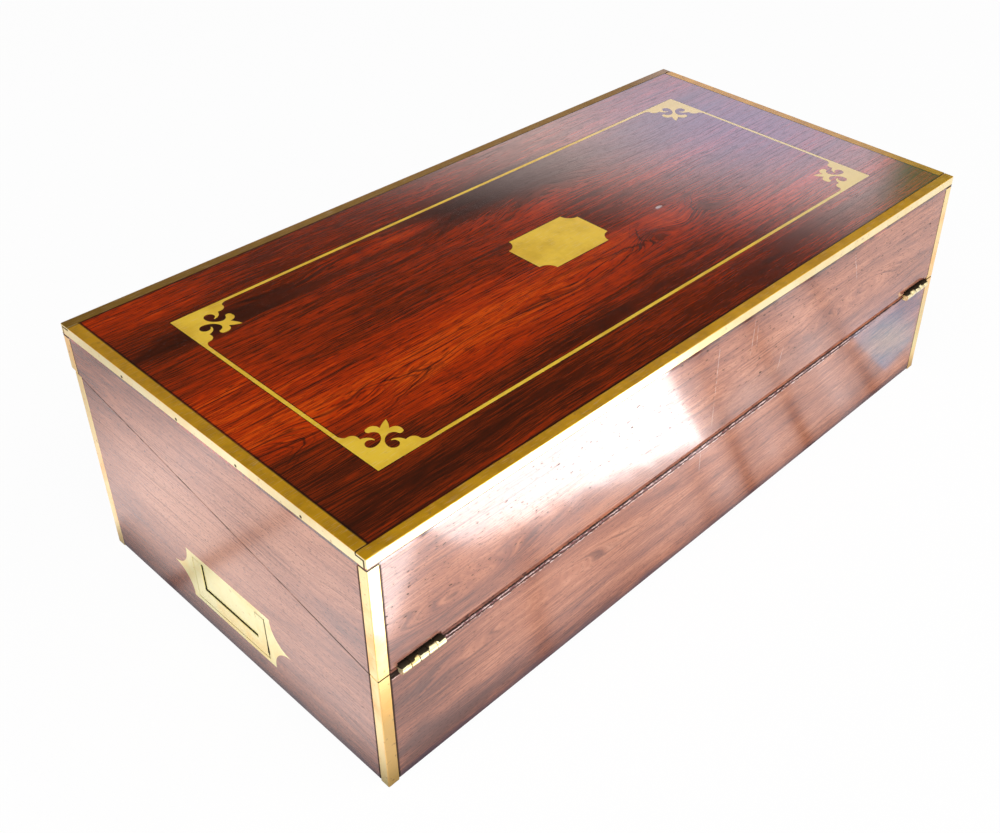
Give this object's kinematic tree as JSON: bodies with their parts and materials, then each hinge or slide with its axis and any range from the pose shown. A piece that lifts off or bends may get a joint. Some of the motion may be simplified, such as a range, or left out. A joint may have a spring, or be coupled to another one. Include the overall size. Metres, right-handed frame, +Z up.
{
  "type": "letter writing box with drawer",
  "caption": "Brass-bound wooden letter writing box, parted on a slope, with a hinged inlaid lid, writing flaps inside, a side drawer and flush swing handles.",
  "frame": {"origin": "on the resting surface, under the middle of the case", "axes": "+X along the case towards the drawer, +Y from the hinge side to the lock side, +Z up"},
  "size_m": [0.508, 0.2599, 0.159],
  "materials": {
    "veneered_wood": "polished",
    "plain_wood": "satin",
    "binding_brass": "worn polish",
    "inlay_brass": "worn polish",
    "lock_metal": "satin",
    "writing_leather": "tooled",
    "baize": "matt",
    "clear_glass": "clear"
  },
  "bodies": {
    "base": {"base_corner_brass_hinge_side": "binding_brass", "base_corner_brass_lock_side": "binding_brass", "base_flap_board": "plain_wood", "base_flap_hinges": "binding_brass", "base_flap_leather": "writing_leather", "base_flap_ledges": "plain_wood", "base_hinge_side_board": "veneered_wood", "base_left_end": "veneered_wood", "base_lock_side_board": "veneered_wood", "base_right_end": "veneered_wood", "base_screws": "lock_metal", "bottom_board": "plain_wood", "drawer_ceiling": "plain_wood", "escutcheon": "binding_brass", "hinge_base_leaves": "binding_brass", "hinge_pins": "lock_metal", "inkwell_caps": "binding_brass", "inkwell_collars": "binding_brass", "inkwell_glasses": "clear_glass", "inkwell_partitions": "plain_wood", "left_handle_fixings": "binding_brass", "left_handle_plate": "binding_brass", "lock_case": "lock_metal", "pen_divider": "plain_wood", "pen_tray": "plain_wood", "tray_ledges": "plain_wood", "underside_baize": "baize"},
    "lid": {"flap_catch_screw": "binding_brass", "hinge_lid_leaves": "binding_brass", "lid_corner_brass_hinge_side": "binding_brass", "lid_corner_brass_lock_side": "binding_brass", "lid_edge_brass_hinge_side": "binding_brass", "lid_edge_brass_left": "binding_brass", "lid_edge_brass_lock_side": "binding_brass", "lid_edge_brass_right": "binding_brass", "lid_flap_board": "plain_wood", "lid_flap_hinges": "binding_brass", "lid_flap_leather": "writing_leather", "lid_flap_ledges": "plain_wood", "lid_flap_rail": "plain_wood", "lid_hinge_side_board": "veneered_wood", "lid_left_end": "veneered_wood", "lid_lock_side_board": "veneered_wood", "lid_right_end": "veneered_wood", "lid_screws": "lock_metal", "lid_top_panel": "veneered_wood", "lock_link_plate": "lock_metal", "top_plaque": "inlay_brass", "top_spandrels": "inlay_brass", "top_stringing": "inlay_brass"},
    "drawer": {"drawer_back": "plain_wood", "drawer_bottom": "plain_wood", "drawer_front": "veneered_wood", "drawer_sides": "plain_wood", "right_handle_fixings": "binding_brass", "right_handle_plate": "binding_brass"},
    "left_bail": {"left_handle_bail": "binding_brass"},
    "right_bail": {"right_handle_bail": "binding_brass"},
    "lock_bolt": {"lock_bolt": "lock_metal"},
    "flap_catch": {"flap_catch": "binding_brass"}
  },
  "joints": [
    {"name": "lid_hinge", "type": "hinge", "parent": "base", "child": "lid", "pos_m": [0, -0.1292, 0.0797], "axis": [1, 0, 0], "range_deg": [0, 180]},
    {"name": "drawer_slide", "type": "slide", "parent": "base", "child": "drawer", "axis": [1, 0, 0], "range_m": [0, 0.3]},
    {"name": "left_bail_swing", "type": "hinge", "parent": "base", "child": "left_bail", "pos_m": [-0.2527, 0, 0.0485], "axis": [0, 1, 0], "range_deg": [0, 90]},
    {"name": "right_bail_swing", "type": "hinge", "parent": "drawer", "child": "right_bail", "pos_m": [0.2527, 0, 0.0485], "axis": [0, -1, 0], "range_deg": [0, 90]},
    {"name": "lock_bolt_slide", "type": "slide", "parent": "base", "child": "lock_bolt", "axis": [1, 0, 0], "range_m": [0, 0.0035]},
    {"name": "flap_catch_turn", "type": "hinge", "parent": "lid", "child": "flap_catch", "pos_m": [0, 0.109, 0.12609], "axis": [0, -0.1898, 0.9818], "range_deg": [0, 90]}
  ]
}
